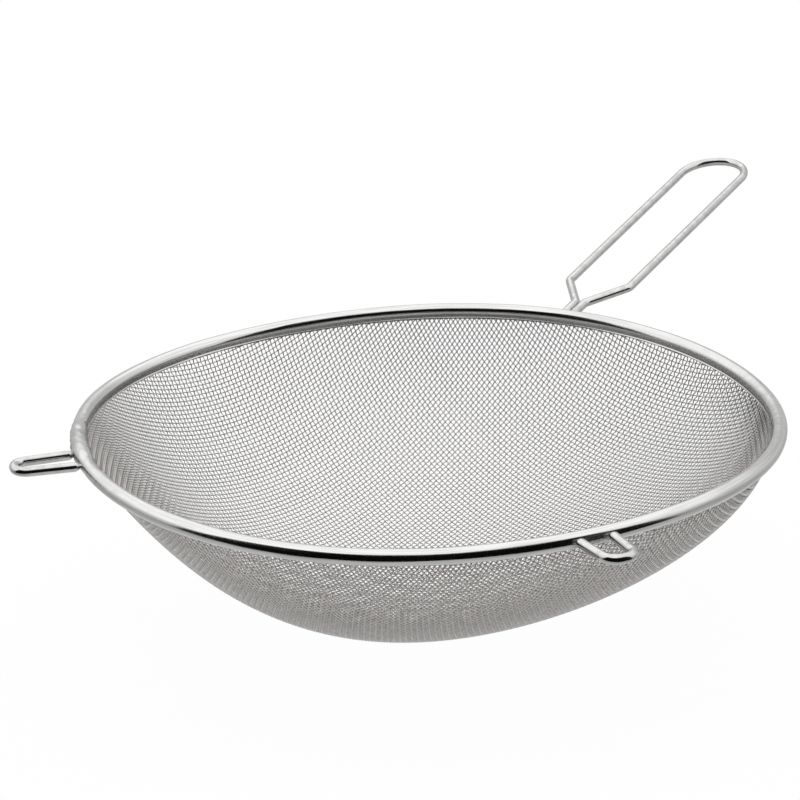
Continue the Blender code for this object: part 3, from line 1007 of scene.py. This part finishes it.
def work_strip(obj, rim, section, face_rows):
    """Gives the turned strip its waves, its lapped and pressed joint, and the masks that its finish reads."""
    mesh = obj.data
    count = len(mesh.vertices)
    points, normals = np.zeros(count * 3), np.zeros(count * 3, np.float32)
    row = np.zeros(count, np.float32)
    mesh.vertices.foreach_get("co", points)
    mesh.vertex_normals.foreach_get("vector", normals)
    mesh.attributes["section"].data.foreach_get("value", row)
    points, normals = points.reshape(-1, 3), normals.reshape(-1, 3)
    row = np.rint(row).astype(int) % len(section)
    middle = bead_middle_radius(rim)
    around = np.arctan2(points[:, 1], points[:, 0])
    tilt = np.arctan2(points[:, 2] + rim.bead_drop, np.hypot(points[:, 0], points[:, 1]) - middle)
    # Only the strip's outer face is worked.
    points += normals * (strip_lift(rim, around, tilt) * (row < face_rows))[:, None]
    points[:, 2] += rim_lift(around)
    mesh.vertices.foreach_set("co", points.ravel())
    steps = np.linalg.norm(np.diff(section, axis=0), axis=1)
    down = np.concatenate([[0.0], np.cumsum(steps)])[row]
    add_attribute(mesh, "strip", np.stack([middle * np.cos(around), middle * np.sin(around), down], 1))
    # The outer skirt is duller than the inner one, and darker with painted shade on the rim's underside.
    dull_and_shade = np.where(section[row, 1] > 0.0, 1.0, INNER_DULL_AND_SHADE)
    add_attribute(mesh, "skirt", dull_and_shade * smooth_step(*DULL_AND_SHADE_STARTS, section[row, 0] / rim.bead))
    satin = sum(strength * near(np.degrees(around), *stretch) for *stretch, strength in SATIN_STRETCHES)
    add_attribute(mesh, "satin", np.clip(satin, 0.0, 1.0))
    add_attribute(mesh, "weld", weld_marks(rim, around, tilt))
    mesh.update()


class STRAINER_OT_rim(bpy.types.Operator):
    """Roll the rim's strip round its hoop, and give the hoop its finish"""

    bl_idname = "strainer.rim"
    bl_label = "Roll the rim"

    def execute(self, context):
        rim = context.scene.strainer_rim
        section, face_rows = rim_section(rim)
        radius, height = rim_point(rim, section[:, 0], section[:, 1])
        points = np.stack([radius, np.zeros(len(section)), height], 1)
        mesh = line_mesh("rolled_rim", [points], closed=True)
        look = finish("rolled_steel")
        piece = grown("rolled_rim", mesh, "turned section", steps=rim.around, material=look)
        work_strip(piece, rim, section, face_rows)
        piece.data.set_sharp_from_angle(angle=math.radians(50.0))
        fitted(set_down(piece), "rim_strip")
        hoop = frame["nodes"]["rim_hoop"]
        hoop.data.materials.clear()
        hoop.data.materials.append(look)
        return {"FINISHED"}


# The handle and the hooks


def rounded(corners, radius, steps=12):
    """A flat path through these corners with each inner corner turned at this radius."""
    corners = [Vector(corner) for corner in corners]
    path = [corners[0]]
    for before, corner, after in zip(corners, corners[1:], corners[2:]):
        back, ahead = (before - corner).normalized(), (after - corner).normalized()
        half_angle = back.angle(ahead) / 2
        if math.pi / 2 - half_angle < 1e-3:
            path.append(corner)
            continue
        middle = corner + (back + ahead).normalized() * (radius / math.sin(half_angle))
        setback = radius / math.tan(half_angle)
        start, end = corner + back * setback - middle, corner + ahead * setback - middle
        turn = start.angle(end)
        for step in range(steps + 1):
            part = step / steps
            mixed = start * math.sin((1.0 - part) * turn) + end * math.sin(part * turn)
            path.append(middle + mixed / math.sin(turn))
    return path + [corners[-1]]


def evened(path, step):
    """The same path with points at even steps, kept at its own points."""
    points = [np.array(path[0])]
    for before, after in zip(path, path[1:]):
        before, after = np.array(before), np.array(after)
        parts = max(1, math.ceil(np.linalg.norm(after - before) / step))
        points += [before + (after - before) * (k + 1) / parts for k in range(parts)]
    return np.array(points)


def mirrored(half_path):
    far_half = [Vector((place.x, -place.y)) for place in reversed(half_path) if abs(place.y) > TOLERANCE]
    return half_path + far_half


def bend_wire(name, path, turn, rise, node):
    """A polished wire along a flat path from the rim and back to it, pressed in where it is welded on."""
    settings, rim = bpy.context.scene.strainer_wires, bpy.context.scene.strainer_rim
    points = evened(path, WIRE_STEP)
    points = np.concatenate([points, np.zeros((len(points), 1))], 1)
    reach = np.maximum(points[:, 0] - PRESS_START, 0.0)
    weld = near(reach, 0.0, PRESS_REACH) * (points[:, 0] < PRESS_END)
    piece = swept(
        name,
        [points],
        settings.diameter,
        settings.sides,
        "polished_wire",
        outward=np.tile([0.0, 0.0, 1.0], (len(points), 1)),
        crown=np.zeros(len(points)),
        girth=1.0 - PRESS_SHARE * weld,
        weld=weld,
    )
    set_down(piece, turn, rise, rim.diameter / 2)
    return fitted(piece, node)


class STRAINER_OT_handle(bpy.types.Operator):
    """Bend the long loop handle"""

    bl_idname = "strainer.handle"
    bl_label = "Bend the handle"

    END_STEPS = 40

    def execute(self, context):
        wires = context.scene.strainer_wires
        leg = wires.diameter / 2 + LEG_GAP / 2
        corners = [
            (WIRE_ROOT, leg),
            (wires.knee, leg),
            (wires.bend, wires.bend_half),
            (wires.end_start, wires.end_half),
        ]
        half_path = rounded(corners, wires.corner)
        for step in range(1, self.END_STEPS + 1):
            turn = math.pi / 2 * step / self.END_STEPS
            reach = wires.end_start + wires.end_depth * math.sin(turn)
            half_path.append(Vector((reach, wires.end_half * math.cos(turn))))
        half_path[-1].y = 0.0
        bend_wire("handle_wire", mirrored(half_path), 0.0, HANDLE_RISE, "handle")
        return {"FINISHED"}


class STRAINER_OT_rest_hooks(bpy.types.Operator):
    """Bend the two rest hooks that hold the strainer over a pot, with the handle"""

    bl_idname = "strainer.rest_hooks"
    bl_label = "Bend the rest hooks"

    def execute(self, context):
        wires = context.scene.strainer_wires
        for side, (turn, rise, reach) in (("left", LEFT_HOOK), ("front", FRONT_HOOK)):
            half = [Vector((WIRE_ROOT, wires.hook_root)), Vector((reach, wires.hook_end))]
            path = rounded(mirrored(half), wires.hook_corner)
            bend_wire(f"{side}_hook_wire", path, turn, rise, f"rest_hook_{side}")
        return {"FINISHED"}


# The stage


def seen_rays(tree):
    """Two values: 1 for what the camera sees, straight or through glass, and 1 for what metal shows."""
    path = add_node(tree, "ShaderNodeLightPath").outputs
    seen = add_math(tree, "MAXIMUM", path["Is Camera Ray"], path["Is Transmission Ray"])
    return seen, path["Is Glossy Ray"]


def light_world(settings):
    """A wide soft light overhead, pale walls beside and behind, and a dark side behind the camera."""
    world = bpy.data.worlds.new("studio")
    world.use_nodes = True
    tree = world.node_tree
    tree.nodes.clear()
    direction = add_node(tree, "ShaderNodeTexCoord").outputs["Generated"]
    height = add_node(tree, "ShaderNodeSeparateXYZ", {"Vector": direction}).outputs["Z"]
    flat = add_vector_math(tree, "NORMALIZE", add_vector_math(tree, "MULTIPLY", direction, (1.0, 1.0, 0.0)))
    c, s = math.cos(DARK_ANGLE), math.sin(DARK_ANGLE)
    facing = add_vector_math(tree, "DOT_PRODUCT", flat, (c, s, 0.0))
    leftwards = add_vector_math(tree, "DOT_PRODUCT", flat, (s, -c, 0.0))
    # The dark side reaches up to the ceiling in its middle, and drops away to the floor at its two ends.
    edge = add_ramp(tree, facing, DARK_END, DARK_FULL, DARK_FOOT, DARK_TOP)
    lit = add_ramp(tree, add_math(tree, "SUBTRACT", height, edge), 0.0, DARK_SOFTNESS)
    # The ceiling comes down lower at the back than at the front.
    brim = add_ramp(tree, facing, -1.0, 1.0, CEILING_BEHIND, CEILING_FRONT, smooth=False)
    brim = add_math(tree, "MULTIPLY_ADD", leftwards, CEILING_SLANT, brim)
    overhead = add_math(tree, "SUBTRACT", height, brim)
    overhead = add_ramp(tree, overhead, -CEILING_SOFTNESS, CEILING_SOFTNESS)
    aside = add_math(tree, "ABSOLUTE", leftwards)
    walls = add_ramp(tree, aside, *WALLS_ASIDE, settings.back_wall, settings.side_walls, smooth=False)
    walls = product(tree, walls, add_ramp(tree, height, *WALLS_HEIGHT, *WALLS_SHARE, smooth=False))
    level = add_mix(tree, lit, settings.front, add_mix(tree, overhead, walls, settings.ceiling))
    # Bright metal shows a part of the white that the camera sees behind the piece.
    seen, glossy = seen_rays(tree)
    behind = product(tree, add_ramp(tree, facing, *WHITE_BEHIND), add_ramp(tree, height, *WHITE_HEIGHT))
    shown = product(tree, glossy, behind, WHITE_SHOWN)
    strength = add_mix(tree, add_math(tree, "MAXIMUM", seen, shown), level, 1.0)
    background = add_node(tree, "ShaderNodeBackground", {"Color": (1.0, 1.0, 1.0, 1.0), "Strength": strength})
    add_node(tree, "ShaderNodeOutputWorld", {"Surface": background.outputs[0]})
    bpy.context.scene.world = world


def floor_finish(settings):
    """Matt pale floor that shows white to the camera, keeps a light shadow, and glows with a painted pool of
    light for metal.
    """
    material = bpy.data.materials.new("floor")
    material.use_nodes = True
    tree = material.node_tree
    tree.nodes.clear()
    place = add_node(tree, "ShaderNodeTexCoord").outputs["Object"]
    fleck = add_node(tree, "ShaderNodeTexNoise", {"Vector": place, "Scale": 900.0, "Detail": 2.0})
    tint = add_colour_mix(tree, fleck.outputs["Fac"], settings.floor, shaded(settings.floor, 0.97))
    matt = add_node(tree, "ShaderNodeBsdfDiffuse", {"Color": tint})
    white = add_node(tree, "ShaderNodeEmission", {"Strength": FLOOR_STRENGTH})
    # The painted pool of light is a white glow that reaches a little past the bowl. The steel shows it from
    # below.
    apart = add_vector_math(tree, "SUBTRACT", place, (RIM_MIDDLE.x, RIM_MIDDLE.y, 0.0))
    painted_pool = add_ramp(tree, add_vector_math(tree, "LENGTH", apart), *PAINTED_POOL_RADII, *PAINTED_POOL_SHARES)
    seen, glossy = seen_rays(tree)
    part = add_math(tree, "MAXIMUM", product(tree, seen, FLOOR_WHITE), product(tree, glossy, painted_pool))
    mix = add_node(tree, "ShaderNodeMixShader", {0: part, 1: matt.outputs[0], 2: white.outputs[0]})
    add_node(tree, "ShaderNodeOutputMaterial", {"Surface": mix.outputs[0]})
    return material


def add_floor(scene):
    middle = Vector((RIM_MIDDLE.x, RIM_MIDDLE.y, 0.0)) - TOWARDS_CAMERA * FLOOR_BEHIND
    turns = [math.tau * k / FLOOR_SIDES for k in range(FLOOR_SIDES)]
    ring = [
        (middle.x + FLOOR_RADIUS * math.cos(turn), middle.y + FLOOR_RADIUS * math.sin(turn), -FLOOR_DROP)
        for turn in turns
    ]
    mesh = bpy.data.meshes.new("floor")
    mesh.from_pydata(ring, [], [tuple(range(FLOOR_SIDES))])
    mesh.materials.append(floor_finish(scene.strainer_stage))
    floor = bpy.data.objects.new("floor", mesh)
    scene.collection.objects.link(floor)


def add_camera(scene):
    lens = bpy.data.cameras.new("camera")
    lens.lens, lens.sensor_width = LENS, 36.0
    lens.shift_x, lens.shift_y = SHIFT
    lens.clip_start, lens.clip_end = 0.05, 20.0
    camera = bpy.data.objects.new("camera", lens)
    away = TOWARDS_CAMERA * math.cos(VIEW_RISE) + Vector((0.0, 0.0, math.sin(VIEW_RISE)))
    camera.location = RIM_MIDDLE + away * VIEW_DISTANCE
    turned = (-away).to_track_quat("-Z", "Y").to_matrix() @ Matrix.Rotation(VIEW_ROLL, 3, "Z")
    camera.rotation_euler = turned.to_euler()
    scene.collection.objects.link(camera)
    scene.camera = camera


class STRAINER_OT_stage(bpy.types.Operator):
    """Set the pale floor, the soft light and the camera"""

    bl_idname = "strainer.stage"
    bl_label = "Set the stage"

    def execute(self, context):
        light_world(context.scene.strainer_stage)
        add_floor(context.scene)
        add_camera(context.scene)
        context.scene.view_settings.view_transform = "Standard"
        return {"FINISHED"}


# The panel


class STRAINER_PT_panel(bpy.types.Panel):
    """Lists the strainer's sizes, finishes and steps"""

    bl_idname = "STRAINER_PT_panel"
    bl_label = "Mesh strainer"
    bl_space_type = "VIEW_3D"
    bl_region_type = "UI"
    bl_category = "Strainer"

    def draw(self, context):
        for name in SETTINGS:
            group = getattr(context.scene, name)
            box = self.layout.box()
            box.label(text=type(group).__name__.replace("Settings", ""))
            for key in type(group).__annotations__:
                box.prop(group, key)
        for operator in OPERATORS:
            self.layout.operator(operator.bl_idname)


SETTINGS = {
    "strainer_rim": RimSettings,
    "strainer_cloth": ClothSettings,
    "strainer_wires": WireSettings,
    "strainer_finish": FinishSettings,
    "strainer_stage": StageSettings,
}
OPERATORS = (
    STRAINER_OT_stage,
    STRAINER_OT_rim,
    STRAINER_OT_cloth,
    STRAINER_OT_handle,
    STRAINER_OT_rest_hooks,
)


def register():
    for made in (*SETTINGS.values(), *OPERATORS, STRAINER_PT_panel):
        bpy.utils.register_class(made)
    for name, group in SETTINGS.items():
        setattr(bpy.types.Scene, name, bpy.props.PointerProperty(type=group))


def unregister():
    for name in SETTINGS:
        delattr(bpy.types.Scene, name)
    for made in (STRAINER_PT_panel, *reversed(OPERATORS), *reversed(SETTINGS.values())):
        bpy.utils.unregister_class(made)


def main():
    register()
    for old in list(bpy.data.objects):
        if old.name in ("Cube", "Camera", "Light"):
            bpy.data.objects.remove(old)
    bpy.ops.strainer.stage()
    bpy.ops.strainer.rim()
    bpy.ops.strainer.cloth()
    bpy.ops.strainer.handle()
    bpy.ops.strainer.rest_hooks()


if __name__ == "__main__":
    main()
